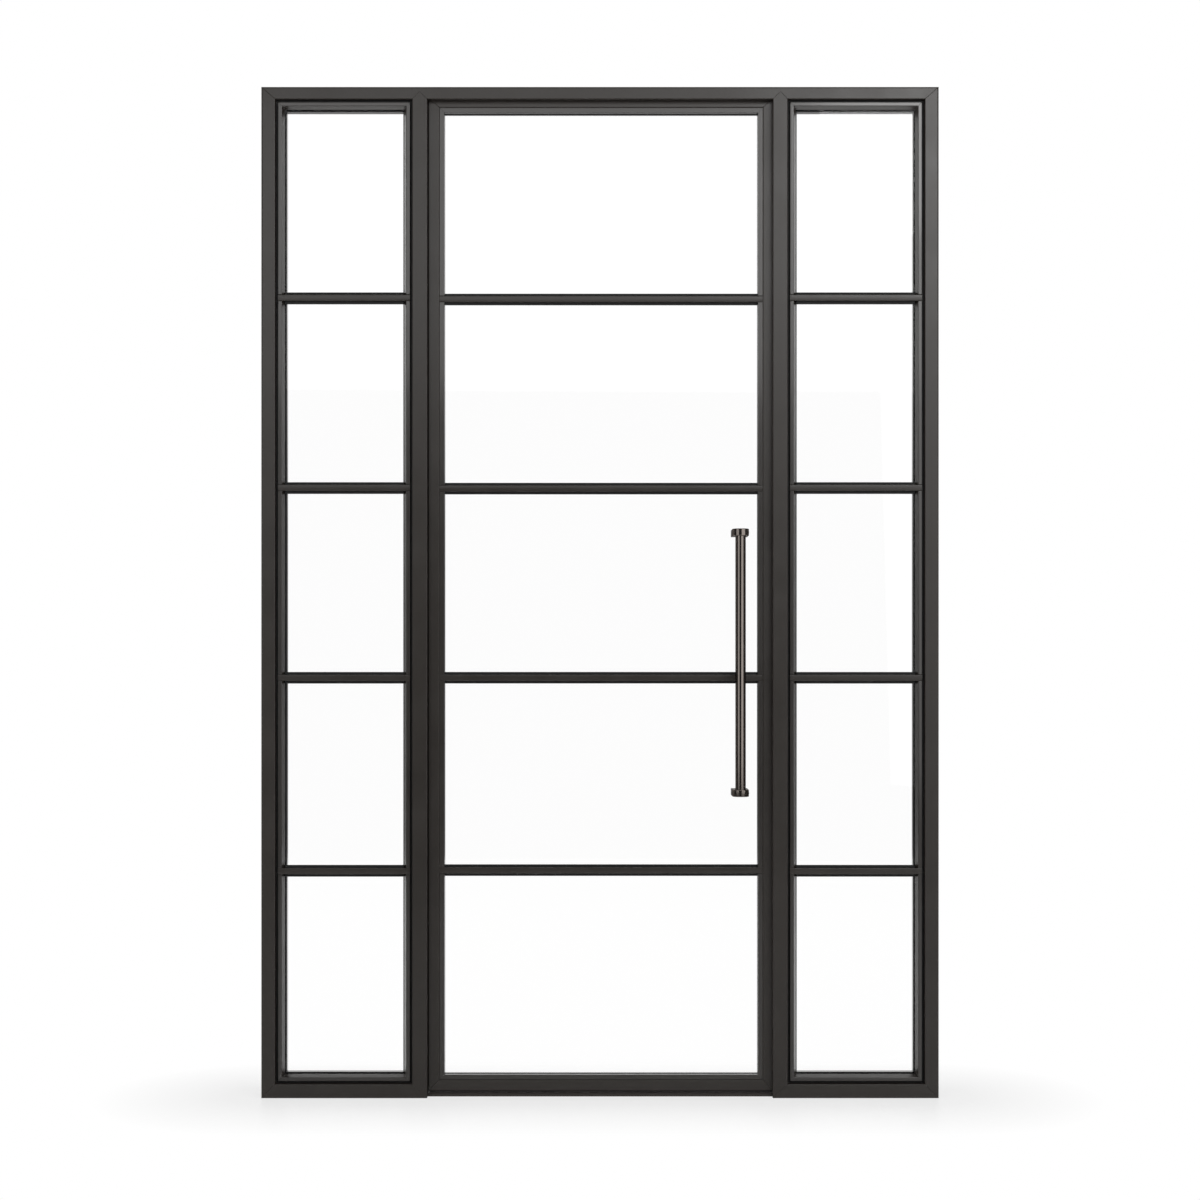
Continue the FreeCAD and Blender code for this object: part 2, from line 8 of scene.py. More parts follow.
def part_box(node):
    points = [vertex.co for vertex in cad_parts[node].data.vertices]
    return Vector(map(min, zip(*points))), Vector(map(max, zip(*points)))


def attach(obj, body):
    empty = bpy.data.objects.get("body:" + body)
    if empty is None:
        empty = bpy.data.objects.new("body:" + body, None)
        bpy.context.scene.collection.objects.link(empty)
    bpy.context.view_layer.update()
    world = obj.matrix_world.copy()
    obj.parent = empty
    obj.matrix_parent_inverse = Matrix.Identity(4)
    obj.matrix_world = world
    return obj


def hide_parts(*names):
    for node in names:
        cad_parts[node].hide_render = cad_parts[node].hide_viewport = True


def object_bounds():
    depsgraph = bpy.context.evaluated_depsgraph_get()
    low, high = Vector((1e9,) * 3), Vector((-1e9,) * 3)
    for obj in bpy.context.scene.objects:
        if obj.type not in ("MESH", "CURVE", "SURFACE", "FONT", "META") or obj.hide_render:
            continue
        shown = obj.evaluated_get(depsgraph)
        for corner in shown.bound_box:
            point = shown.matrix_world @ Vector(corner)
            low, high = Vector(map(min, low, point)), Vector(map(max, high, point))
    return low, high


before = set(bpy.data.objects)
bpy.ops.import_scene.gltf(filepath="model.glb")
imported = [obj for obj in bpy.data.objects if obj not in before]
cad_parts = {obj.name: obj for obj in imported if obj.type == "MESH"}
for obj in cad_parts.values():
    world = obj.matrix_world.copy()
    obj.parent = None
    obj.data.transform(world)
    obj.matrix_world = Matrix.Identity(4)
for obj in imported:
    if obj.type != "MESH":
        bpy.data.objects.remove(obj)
cad_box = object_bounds()


# Studio. The set stands on a white floor in front of plain white, which metal and glass mirror
# above a dim horizon. Soft boxes light it from both sides and above, the right one more. The
# camera is square to the frame, at about the middle of the handle.

def linear(code):
    """An sRGB hex colour as linear red, green, blue and alpha."""
    values = [int(code[place:place + 2], 16) / 255 for place in (1, 3, 5)]
    return [v / 12.92 if v <= 0.04045 else ((v + 0.055) / 1.055) ** 2.4 for v in values] + [1.0]


def add(tree, kind, inputs=None, **settings):
    """Add one node. Its inputs are values, or sockets to link from."""
    made = tree.nodes.new(kind)
    for name, value in settings.items():
        setattr(made, name, value)
    for name, value in (inputs or {}).items():
        socket = made.inputs[name]
        if isinstance(value, bpy.types.NodeSocket):
            tree.links.new(value, socket)
        else:
            socket.default_value = value
    return made


def new_material(name):
    """An empty material and its node tree."""
    material = bpy.data.materials.new(name)
    material.use_nodes = True
    material.node_tree.nodes.clear()
    return material, material.node_tree


camera = bpy.data.objects.new("camera", bpy.data.cameras.new("camera"))
camera.location = (0.0, -5.03, 1.057)
camera.rotation_euler = (math.radians(90), 0, 0)
camera.data.lens = 62.2
camera.data.sensor_width = 36
camera.data.shift_y = 0.05
bpy.context.scene.collection.objects.link(camera)
bpy.context.scene.camera = camera
bpy.context.scene.view_settings.view_transform = "Standard"

world = bpy.data.worlds.new("studio")
world.use_nodes = True
bpy.context.scene.world = world
sky = world.node_tree
sky.nodes.clear()

# Metal and glass mirror white behind the set and above, a dim horizon, which gives the round
# bar of the handle its dark edges, and a nearly dark room on the camera's side.
way = add(sky, "ShaderNodeSeparateXYZ",
          {"Vector": add(sky, "ShaderNodeTexCoord").outputs["Generated"]})
above = add(sky, "ShaderNodeMapRange",
            {"Value": way.outputs["Z"], "From Min": 0.06, "From Max": 0.16,
             "To Min": 0.3, "To Max": 1.0})
behind = add(sky, "ShaderNodeMapRange",
             {"Value": way.outputs["Y"], "From Min": -0.1, "From Max": 0.25,
              "To Min": 0.03, "To Max": above.outputs["Result"]})
mirrored = add(sky, "ShaderNodeBackground",
               {"Color": linear("#FFFFFF"), "Strength": behind.outputs["Result"]})
fill = add(sky, "ShaderNodeBackground", {"Color": linear("#FFFFFF"), "Strength": 0.35})
white = add(sky, "ShaderNodeBackground", {"Color": linear("#FFFFFF"), "Strength": 1.0})

# A ray that has only passed a pane counts as glossy too, but its glossy depth is none, so the
# product of the two picks out what a surface mirrors.
seen = add(sky, "ShaderNodeLightPath")
by_mirror = add(sky, "ShaderNodeMath",
                {0: seen.outputs["Is Glossy Ray"], 1: seen.outputs["Glossy Depth"]},
                operation="MULTIPLY", use_clamp=True)
in_metal = add(sky, "ShaderNodeMixShader",
               {0: by_mirror.outputs["Value"],
                1: fill.outputs["Background"], 2: mirrored.outputs["Background"]})

# Plain white is what the eye meets behind the set, directly or through a pane.
through_pane = add(sky, "ShaderNodeMath",
                   {0: seen.outputs["Is Transmission Ray"], 1: by_mirror.outputs["Value"]},
                   operation="SUBTRACT", use_clamp=True)
direct = add(sky, "ShaderNodeMath",
             {0: seen.outputs["Is Camera Ray"], 1: through_pane.outputs["Value"]},
             operation="MAXIMUM")
shown = add(sky, "ShaderNodeMixShader",
            {0: direct.outputs["Value"],
             1: in_metal.outputs["Shader"], 2: white.outputs["Background"]})
add(sky, "ShaderNodeOutputWorld", {"Surface": shown.outputs["Shader"]})


def soft_box(name, position, aim, width, height, watts):
    """A rectangular studio lamp turned to face a point."""
    lamp = bpy.data.objects.new(name, bpy.data.lights.new(name, "AREA"))
    lamp.data.shape = "RECTANGLE"
    lamp.data.size = width
    lamp.data.size_y = height
    lamp.data.energy = watts
    lamp.location = position
    facing = Vector(aim) - Vector(position)
    lamp.rotation_euler = facing.to_track_quat("-Z", "Y").to_euler()
    lamp.visible_camera = False
    bpy.context.scene.collection.objects.link(lamp)


soft_box("right_box", (2.6, -3.1, 1.6), (0.2, 0.0, 1.4), width=3.4, height=2.2, watts=29)
soft_box("left_box", (-2.7, -3.0, 1.6), (-0.2, 0.0, 1.4), width=2.8, height=2.2, watts=18)
soft_box("top_box", (-0.2, -3.4, 2.95), (-0.1, 0.0, 2.0), width=4.4, height=1.6, watts=32)
soft_box("corner_box", (1.6, -3.1, 3.3), (0.7, 0.0, 2.2), width=1.5, height=1.1, watts=21)

floor_radius = 6.0
floor_sides = 96
floor_drop = 0.0005
shadow_half_width = 0.8
shadow_near, shadow_end = 0.1, 0.42
least_glow = 0.69

turns = [side * math.tau / floor_sides for side in range(floor_sides)]
rim = [(floor_radius * math.cos(turn), floor_radius * math.sin(turn), 0) for turn in turns]
floor_mesh = bpy.data.meshes.new("floor")
floor_mesh.from_pydata(rim, [], [list(range(floor_sides))])
floor = bpy.data.objects.new("floor", floor_mesh)
floor.location.z = -floor_drop
bpy.context.scene.collection.objects.link(floor)

# Satin white paint. It takes the set's soft shadow close by and turns to the plain white of the
# background further out, so that no edge of the floor shows.
floor_paint, tree = new_material("satin white floor")
place = add(tree, "ShaderNodeTexCoord").outputs["Object"]
side = add(tree, "ShaderNodeVectorMath", {0: place}, operation="ABSOLUTE")
past = add(tree, "ShaderNodeVectorMath",
           {0: side.outputs["Vector"], 1: (shadow_half_width, 0.0, 0.0)}, operation="SUBTRACT")
outside = add(tree, "ShaderNodeVectorMath",
              {0: past.outputs["Vector"], 1: (0.0, 0.0, 0.0)}, operation="MAXIMUM")
reach = add(tree, "ShaderNodeVectorMath", {0: outside.outputs["Vector"]}, operation="LENGTH")
glow_share = add(tree, "ShaderNodeMapRange",
                 {"Value": reach.outputs["Value"], "From Min": shadow_near,
                  "From Max": shadow_end, "To Min": least_glow, "To Max": 1.0})

# The glow is for the eye, directly or through a pane, and for mirrors only behind the set: in
# front, the low rails would mirror it and turn too pale.
seen = add(tree, "ShaderNodeLightPath")
looked_through = add(tree, "ShaderNodeMath",
                     {0: seen.outputs["Is Camera Ray"], 1: seen.outputs["Is Transmission Ray"]},
                     operation="MAXIMUM")
spot = add(tree, "ShaderNodeSeparateXYZ", {"Vector": place})
behind_set = add(tree, "ShaderNodeMapRange",
                 {"Value": spot.outputs["Y"], "From Min": -0.1, "From Max": 0.3})
mirrored_back = add(tree, "ShaderNodeMath",
                    {0: seen.outputs["Is Glossy Ray"], 1: behind_set.outputs["Result"]},
                    operation="MULTIPLY")
looked_at = add(tree, "ShaderNodeMath",
                {0: looked_through.outputs["Value"], 1: mirrored_back.outputs["Value"]},
                operation="MAXIMUM")
share = add(tree, "ShaderNodeMath",
            {0: looked_at.outputs["Value"], 1: glow_share.outputs["Result"]},
            operation="MULTIPLY")
lit = add(tree, "ShaderNodeBsdfPrincipled",
          {"Base Color": linear("#F4F4F4"), "Roughness": 0.35})
plain = add(tree, "ShaderNodeEmission", {"Color": linear("#FFFFFF"), "Strength": 1.0})
both = add(tree, "ShaderNodeMixShader",
           {0: share.outputs["Value"], 1: lit.outputs["BSDF"], 2: plain.outputs["Emission"]})
add(tree, "ShaderNodeOutputMaterial", {"Surface": both.outputs["Shader"]})
floor_mesh.materials.append(floor_paint)


# Outer frame. Cold-rolled steel sections, mitred and welded into one piece with the welds
# dressed flush, then coated. Each mullion is let into the head and the rails in a point.

outer_arris = 0.0045
inner_arris = 0.0022
corner_seam = 0.0009
mullion_seam = 0.0004


def pattern_scale(size_mm):
    """A pattern's scale on coordinates in metres, from the real size of its marks."""
    return 1000 / size_mm


def powder_coat(name, pale, dark, peel_mm, clear=0.0):
    """Baked polyester powder on steel: satin, with a fine peel and slight drifts in the gloss."""
    material, tree = new_material(name)
    place = add(tree, "ShaderNodeTexCoord").outputs["Object"]
    drift = add(tree, "ShaderNodeTexNoise",
                {"Vector": place, "Scale": pattern_scale(size_mm=90),
                 "Detail": 3.0, "Roughness": 0.55})
    peel = add(tree, "ShaderNodeTexNoise",
               {"Vector": place, "Scale": pattern_scale(peel_mm), "Detail": 2.0, "Roughness": 0.5})
    colour = add(tree, "ShaderNodeMix",
                 {"Factor": drift.outputs["Fac"], "A": linear(dark), "B": linear(pale)},
                 data_type="RGBA")
    gloss = add(tree, "ShaderNodeMapRange",
                {"Value": drift.outputs["Fac"], "From Min": 0.3, "From Max": 0.7,
                 "To Min": 0.30, "To Max": 0.38})
    skin = add(tree, "ShaderNodeBump",
               {"Height": peel.outputs["Fac"], "Strength": 0.35, "Distance": 0.00012})
    surface = add(tree, "ShaderNodeBsdfPrincipled",
                  {"Base Color": colour.outputs["Result"], "Roughness": gloss.outputs["Result"],
                   "Normal": skin.outputs["Normal"], "IOR": 1.55,
                   "Coat Weight": clear, "Coat Roughness": 0.12})
    add(tree, "ShaderNodeOutputMaterial", {"Surface": surface.outputs["BSDF"]})
    return material


def eased(made, name, arris, material, limit="ANGLE"):
    """Keep a built shape as a piece of its own, with its edges rounded."""
    for face in made.faces:
        face.smooth = True
    mesh = bpy.data.meshes.new(name)
    made.to_mesh(mesh)
    made.free()
    mesh.materials.append(material)
    piece = bpy.data.objects.new(name, mesh)
    bpy.context.scene.collection.objects.link(piece)
    easing = piece.modifiers.new("arris", "BEVEL")
    easing.width = arris
    easing.segments = 3
    easing.limit_method = limit
    easing.angle_limit = math.radians(30)
    even = piece.modifiers.new("flat faces", "WEIGHTED_NORMAL")
    even.weight = 100
    return piece


def eased_copy(node, arris, seam, material, outside=None):
    """A merged copy of a CAD piece, its long edges rounded and its mitred ends nearly sharp."""
    merge_gap = 0.000005
    flat_within = math.radians(0.4)
    mitre_slant = 0.2
    rim_gap = 0.0001
    made = bmesh.new()
    made.from_mesh(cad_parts[node].data)
    bmesh.ops.remove_doubles(made, verts=made.verts, dist=merge_gap)
    bmesh.ops.dissolve_limit(made, angle_limit=flat_within, verts=made.verts, edges=made.edges)
    broadest = outside or arris
    weight = made.edges.layers.float.new("bevel_weight_edge")
    for edge in made.edges:
        slants = [face for face in edge.link_faces
                  if abs(face.normal.x) > mitre_slant and abs(face.normal.z) > mitre_slant]
        at_rim = all(abs(v.co.x) > cad_box[1].x - rim_gap or v.co.z > cad_box[1].z - rim_gap
                     for v in edge.verts)
        width = outside if outside and at_rim else arris
        edge[weight] = (seam if slants else width) / broadest
    return eased(made, f"{node}_eased", broadest, material, limit="WEIGHT")


frame_coat = powder_coat("charcoal powder coat", "#312C28", "#292521", peel_mm=3)

for node, seam in (("head", corner_seam), ("left_jamb", corner_seam), ("right_jamb", corner_seam),
                   ("hinge_mullion", mullion_seam), ("lock_mullion", mullion_seam),
                   ("left_bottom_rail", mullion_seam), ("right_bottom_rail", mullion_seam)):
    member = eased_copy(node, inner_arris, seam, frame_coat, outside=outer_arris)
    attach(member, "frame")
    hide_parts(node)


# Threshold. A rolled steel plate on the floor under the leaf, with a chamfered front edge and
# shallow rolled grooves for grip, coated like the frame and screwed down through its middle.

threshold_low, threshold_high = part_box("threshold")
groove_count = 5
groove_pitch = 0.0062
groove_width = 0.0022
groove_depth = 0.0008
front_chamfer = 0.0018
plate_arris = 0.0003


def joined(made, loops):
    """Close the walls between each loop of corners and the next."""
    for loop, following in zip(loops, loops[1:]):
        for step in range(len(loop)):
            after = (step + 1) % len(loop)
            made.faces.new((loop[step], loop[after], following[after], following[step]))


def drawn_out(section, low_x, high_x):
    """A closed bar along X from the corners of its section in Y and Z."""
    made = bmesh.new()
    ends = [[made.verts.new((x, y, z)) for y, z in section] for x in (low_x, high_x)]
    joined(made, ends)
    for end in ends:
        made.faces.new(end)
    bmesh.ops.recalc_face_normals(made, faces=made.faces)
    return made


plate_section = [(threshold_low.y, threshold_low.z),
                 (threshold_low.y, threshold_high.z - front_chamfer),
                 (threshold_low.y + front_chamfer, threshold_high.z)]
first_groove = (threshold_low.y + threshold_high.y - (groove_count - 1) * groove_pitch) / 2
for groove in range(groove_count):
    middle = first_groove + groove * groove_pitch
    plate_section += [(middle - groove_width / 2, threshold_high.z),
                      (middle - groove_width / 4, threshold_high.z - groove_depth),
                      (middle + groove_width / 4, threshold_high.z - groove_depth),
                      (middle + groove_width / 2, threshold_high.z)]
plate_section += [(threshold_high.y, threshold_high.z), (threshold_high.y, threshold_low.z)]
plate = drawn_out(plate_section, threshold_low.x, threshold_high.x)
threshold = eased(plate, "threshold_plate", plate_arris, frame_coat)
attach(threshold, "frame")
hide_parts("threshold")


# Door leaf. Four hollow steel sections with mitred and dressed corners, welded and coated like
# the frame. It hangs on the hinges behind its left edge.

for node in ("leaf_hinge_stile", "leaf_lock_stile", "leaf_top_rail", "leaf_bottom_rail"):
    member = eased_copy(node, inner_arris, corner_seam, frame_coat)
    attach(member, "leaf")
    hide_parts(node)


# Glazing stops and beads. Small folded steel sections, mitred at the corners, that hold each
# pane against its gaskets. The sidelights' front stops stand off the frame by a shadow groove.

bead_seam = 0.0003

# The beads' powder has a clear top layer, which lets them shine a little more than the frame.
bead_coat = powder_coat("charcoal powder coat on beads", "#2E2A26", "#26221F", peel_mm=2.5,
                        clear=0.8)

for node, body, arris in (
        ("left_sidelight_front_stops", "frame", 0.0012),
        ("right_sidelight_front_stops", "frame", 0.0012),
        ("left_sidelight_rear_beads", "frame", 0.0015),
        ("right_sidelight_rear_beads", "frame", 0.0015),
        ("leaf_front_beads", "leaf", 0.0008),
        ("leaf_rear_beads", "leaf", 0.0012)):
    lengths = eased_copy(node, arris, bead_seam, bead_coat)
    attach(lengths, body)
    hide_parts(node)


# Panes. Laminated glass 10 mm thick of clear low-iron float. Its faces have an anti-glare
# coating, so they mirror about a third of what plain glass does.

# Colourless glass with faint, sharp reflections. Light from the lamps passes it unbroken, so
# that the panes throw no shadow.
clear_glass, tree = new_material("clear laminated glass")
seen = add(tree, "ShaderNodeLightPath")
pane = add(tree, "ShaderNodeBsdfPrincipled",
           {"Base Color": linear("#FFFFFF"), "Roughness": 0.0, "IOR": 1.5,
            "Specular Tint": (0.3, 0.3, 0.3, 1.0), "Transmission Weight": 1.0})
open_way = add(tree, "ShaderNodeBsdfTransparent")
passed = add(tree, "ShaderNodeMixShader",
             {0: seen.outputs["Is Shadow Ray"],
              1: pane.outputs["BSDF"], 2: open_way.outputs["BSDF"]})
add(tree, "ShaderNodeOutputMaterial", {"Surface": passed.outputs["Shader"]})


def finish_node(node, material):
    """Give a CAD piece that is shown as it is its finish."""
    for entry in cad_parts[node].material_slots:
        entry.material = material


for node in ("left_sidelight_glass", "right_sidelight_glass", "leaf_glass"):
    finish_node(node, clear_glass)


# Gaskets and weather seals. Black extruded rubber, matt, pressed between glass and steel. A
# wiper lip of the same rubber under the leaf closes the gap above the threshold.

# A dull black that swallows the light, with a slight grey bloom in spots about 8 mm across.
black_rubber, tree = new_material("black EPDM rubber")
place = add(tree, "ShaderNodeTexCoord").outputs["Object"]
bloom = add(tree, "ShaderNodeTexNoise",
            {"Vector": place, "Scale": pattern_scale(size_mm=8), "Detail": 3.0})
colour = add(tree, "ShaderNodeMix",
             {"Factor": bloom.outputs["Fac"], "A": linear("#0E0E0E"), "B": linear("#191919")},
             data_type="RGBA")
surface = add(tree, "ShaderNodeBsdfPrincipled",
              {"Base Color": colour.outputs["Result"], "Roughness": 0.75})
add(tree, "ShaderNodeOutputMaterial", {"Surface": surface.outputs["BSDF"]})

for node in ("left_sidelight_front_gasket", "left_sidelight_rear_gasket",
             "right_sidelight_front_gasket", "right_sidelight_rear_gasket",
             "leaf_front_gasket", "leaf_rear_gasket", "door_seals"):
    finish_node(node, black_rubber)

leaf_low, leaf_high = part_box("leaf_bottom_rail")
wiper_middle = 0.004
wiper_end = 0.002
wiper_arris = 0.0002
strip_half, strip_thickness = 0.004, 0.0015
root_half, root_drop = 0.0012, 0.0022
tip_half, tip_gap = 0.0007, 0.0008

half_section = [(tip_half, threshold_high.z + tip_gap), (root_half, leaf_low.z - root_drop),
                (strip_half, leaf_low.z - strip_thickness), (strip_half, leaf_low.z)]
wiper_section = [(-y, z) for y, z in reversed(half_section)] + half_section
lip = drawn_out([(wiper_middle + y, z) for y, z in wiper_section],
                leaf_low.x + wiper_end, leaf_high.x - wiper_end)
wiper = eased(lip, "leaf_bottom_seal", wiper_arris, black_rubber)
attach(wiper, "leaf")


# Sealant as painted shade. A black bead, tooled hollow, in the bottom of the shadow groove between
# each sidelight's front stop and the frame. Its black is painted shade that darkens the groove.

shadow_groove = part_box("left_sidelight_front_bars")[0].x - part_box("left_sidelight_front_stops")[0].x
groove_bottom = -0.013
shade_sealant_edge, shade_sealant_shoulder, shade_sealant_middle = -0.0158, -0.0148, -0.0145
shoulder_share = 0.22
shade_sealant_arris = 0.0001
shade_sealant_section = [(0.0, groove_bottom), (0.0, shade_sealant_edge),
                   (shadow_groove * shoulder_share, shade_sealant_shoulder),
                   (shadow_groove / 2, shade_sealant_middle),
                   (shadow_groove * (1 - shoulder_share), shade_sealant_shoulder),
                   (shadow_groove, shade_sealant_edge), (shadow_groove, groove_bottom)]

# Painted shade: black with a soft sheen that breaks up along the bead, where the tool left ripples.
shade_silicone, tree = new_material("black silicone shade_sealant")
place = add(tree, "ShaderNodeTexCoord").outputs["Object"]
ripple = add(tree, "ShaderNodeTexNoise",
             {"Vector": place, "Scale": pattern_scale(size_mm=25), "Detail": 1.0})
tooling = add(tree, "ShaderNodeBump",
              {"Height": ripple.outputs["Fac"], "Strength": 0.3, "Distance": 0.0005})
sheen = add(tree, "ShaderNodeMapRange",
            {"Value": ripple.outputs["Fac"], "To Min": 0.5, "To Max": 0.65})
surface = add(tree, "ShaderNodeBsdfPrincipled",
              {"Base Color": linear("#0B0B0B"), "Roughness": sheen.outputs["Result"],
               "Normal": tooling.outputs["Normal"]})
add(tree, "ShaderNodeOutputMaterial", {"Surface": surface.outputs["BSDF"]})

# Each sidelight's groove gets the black bead, which paints the groove's shade.
for panel in ("left_sidelight", "right_sidelight"):
    low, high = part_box(f"{panel}_front_stops")
    made = bmesh.new()
    rings = []
    for inset, depth in shade_sealant_section:
        rings.append([made.verts.new((x, depth, z)) for x, z in (
            (low.x + inset, low.z + inset), (high.x - inset, low.z + inset),
            (high.x - inset, high.z - inset), (low.x + inset, high.z - inset))])
    joined(made, rings + rings[:1])
    bmesh.ops.recalc_face_normals(made, faces=made.faces)
    bead = eased(made, f"{panel}_sealant", shade_sealant_arris, shade_silicone)
    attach(bead, "frame")


# Glazing bars. At each of four levels a flat steel bar lies on a wider black gasket on the front
# of the pane, and a plain bar is taped to the back. The front bar runs out over the stops or
# beads on both sides.

bar_levels = (0.547, 1.014, 1.473, 1.932)
nose_depth = 0.008
nose_height = 0.015
gasket_height = 0.028
back_height = 0.019
bar_arris = 0.0016
gasket_arris = 0.0003
over_stops = 0.0157
over_beads = 0.0122


def new_group(name, sizes, result):
    """An empty node group with named inputs and one shape as its result."""
    group = bpy.data.node_groups.new(name, "GeometryNodeTree")
    for label, kind in sizes.items():
        group.interface.new_socket(label, in_out="INPUT", socket_type=f"NodeSocket{kind}")
    group.interface.new_socket(result, in_out="OUTPUT", socket_type="NodeSocketGeometry")
    return group, add(group, "NodeGroupInput").outputs


def finish_group(group, instances, finish):
    """End a group with its instances made one plain mesh in their finish."""
    real = add(group, "GeometryNodeRealizeInstances", {"Geometry": instances})
    finished = add(group, "GeometryNodeSetMaterial",
                   {"Geometry": real.outputs["Geometry"], "Material": finish})
    add(group, "NodeGroupOutput", {0: finished.outputs["Geometry"]})


def grown(name, points, group, sizes):
    """Run a node group over a set of points and keep the result as a plain mesh."""
    seed_mesh = bpy.data.meshes.new(f"{name}_points")
    seed_mesh.from_pydata(points, [], [])
    seeds = bpy.data.objects.new(f"{name}_points", seed_mesh)
    bpy.context.scene.collection.objects.link(seeds)
    step = seeds.modifiers.new("grow", "NODES")
    step.node_group = group
    for socket in group.interface.items_tree:
        if socket.in_out == "INPUT" and socket.name in sizes:
            step[socket.identifier] = sizes[socket.name]
    evaluated = seeds.evaluated_get(bpy.context.evaluated_depsgraph_get())
    mesh = bpy.data.meshes.new_from_object(evaluated)
    bpy.data.objects.remove(seeds)
    piece = bpy.data.objects.new(name, mesh)
    bpy.context.scene.collection.objects.link(piece)
    return piece


bar_group, given = new_group(
    "glazing bars",
    {"Levels": "Geometry", "Length": "Float", "Depth": "Float", "Height": "Float",
     "Arris": "Float", "Finish": "Material"}, "Bars")
half = add(bar_group, "ShaderNodeMath", {0: given["Length"], 1: 0.5}, operation="MULTIPLY")
minus_half = add(bar_group, "ShaderNodeMath", {0: given["Length"], 1: -0.5}, operation="MULTIPLY")
start = add(bar_group, "ShaderNodeCombineXYZ", {"X": minus_half.outputs["Value"]})
end = add(bar_group, "ShaderNodeCombineXYZ", {"X": half.outputs["Value"]})
line = add(bar_group, "GeometryNodeCurvePrimitiveLine",
           {"Start": start.outputs["Vector"], "End": end.outputs["Vector"]})
section = add(bar_group, "GeometryNodeCurvePrimitiveQuadrilateral",
              {"Width": given["Depth"], "Height": given["Height"]})
rounded = add(bar_group, "GeometryNodeFilletCurve",
              {"Curve": section.outputs["Curve"], "Radius": given["Arris"], "Count": 4},
              mode="POLY")
one_bar = add(bar_group, "GeometryNodeCurveToMesh",
              {"Curve": line.outputs["Curve"], "Profile Curve": rounded.outputs["Curve"],
               "Fill Caps": True})
copies = add(bar_group, "GeometryNodeInstanceOnPoints",
             {"Points": given["Levels"], "Instance": one_bar.outputs["Mesh"]})
finish_group(bar_group, copies.outputs["Instances"], given["Finish"])

for panel, body, run_over in (("left_sidelight", "frame", over_stops),
                              ("right_sidelight", "frame", over_stops),
                              ("leaf", "leaf", over_beads)):
    front, rear = f"{panel}_front_bars", f"{panel}_rear_bars"
    low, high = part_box(front)
    back_low, back_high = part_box(rear)
    middle = (low.x + high.x) / 2
    shoulder = low.y + nose_depth
    whole, back_whole = high.x - low.x, back_high.x - back_low.x
    for name, node, slot, finish, near, far, length, height, arris in (
            (f"{panel}_bar_noses", front, "bead_paint", frame_coat,
             low.y, shoulder, whole, nose_height, bar_arris),
            (f"{panel}_bar_gaskets", front, "gasket_rubber", black_rubber,
             shoulder, high.y, whole - 2 * run_over, gasket_height, gasket_arris),
            (f"{panel}_bar_backs", rear, "bead_paint", bead_coat,
             back_low.y, back_high.y, back_whole, back_height, bar_arris)):
        bars = grown(name, [(middle, (near + far) / 2, level) for level in bar_levels], bar_group,
                     {"Length": length, "Depth": far - near, "Height": height,
                      "Arris": arris, "Finish": finish})
        for face in bars.data.polygons:
            face.use_smooth = True
        bars.data.set_sharp_from_angle(angle=math.radians(35))
        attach(bars, body)
        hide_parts(node)


# Pull handle. A round steel bar let into a flat bracket at each end. The brackets have round
# fronts and are bolted through the pane. All of it is bronzed and brushed along its length.

grain_mm = 1.2
grain_stretch = 25

# Brown metal with bright stripes that run up the bar. The brush marks are drawn coarser than
# real ones, so that they show, and the patina drifts between two browns over about 60 mm.
bronzed, tree = new_material("bronzed brushed steel")
place = add(tree, "ShaderNodeTexCoord").outputs["Object"]
lay = add(tree, "ShaderNodeMapping", {"Vector": place, "Scale": (1.0, 1.0, 1 / grain_stretch)})
grain = add(tree, "ShaderNodeTexNoise",
            {"Vector": lay.outputs["Vector"], "Scale": pattern_scale(grain_mm), "Detail": 4.0})
patina = add(tree, "ShaderNodeTexNoise",
             {"Vector": place, "Scale": pattern_scale(size_mm=60), "Detail": 3.0})
colour = add(tree, "ShaderNodeMix",
             {"Factor": patina.outputs["Fac"], "A": linear("#7E7671"), "B": linear("#8C847E")},
             data_type="RGBA")
gloss = add(tree, "ShaderNodeMapRange",
            {"Value": grain.outputs["Fac"], "From Min": 0.3, "From Max": 0.7,
             "To Min": 0.10, "To Max": 0.16})
lines = add(tree, "ShaderNodeBump",
            {"Height": grain.outputs["Fac"], "Strength": 0.1, "Distance": 0.00006})
surface = add(tree, "ShaderNodeBsdfPrincipled",
              {"Base Color": colour.outputs["Result"], "Metallic": 1.0,
               "Specular Tint": (0.25, 0.22, 0.2, 1.0),
               "Roughness": gloss.outputs["Result"], "Normal": lines.outputs["Normal"]})
add(tree, "ShaderNodeOutputMaterial", {"Surface": surface.outputs["BSDF"]})


def turned(outline, turn=None, sides=72):
    """A closed lathe shape about Z from (radius, height) pairs, then turned as asked."""
    made = bmesh.new()
    rings = []
    for radius, height in outline:
        steps = [math.tau * step / sides for step in range(sides)] if radius else [0.0]
        rings.append([made.verts.new((radius * math.cos(angle), radius * math.sin(angle), height))
                      for angle in steps])
    for lower, upper in zip(rings, rings[1:]):
        for side in range(sides):
            after = (side + 1) % sides
            corners = [lower[side % len(lower)], lower[after % len(lower)],
                       upper[after % len(upper)], upper[side % len(upper)]]
            made.faces.new(list(dict.fromkeys(corners)))
    if turn:
        made.transform(turn)
    bmesh.ops.recalc_face_normals(made, faces=made.faces)
    return made


def rod(radius, low, high, turn, sides):
    """A plain round bar between two heights."""
    return turned([(0.0, low), (radius, low), (radius, high), (0.0, high)], turn, sides)


bar_low, bar_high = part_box("handle_bar")
bar_axis = Vector(((bar_low.x + bar_high.x) / 2, (bar_low.y + bar_high.y) / 2, 0.0))
bar_radius = (bar_high.x - bar_low.x) / 2
bar_end_arris = 0.0006
bar = eased(rod(bar_radius, bar_low.z, bar_high.z, Matrix.Translation(bar_axis), sides=96),
            "pull_bar", bar_end_arris, bronzed)
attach(bar, "leaf")
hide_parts("handle_bar")

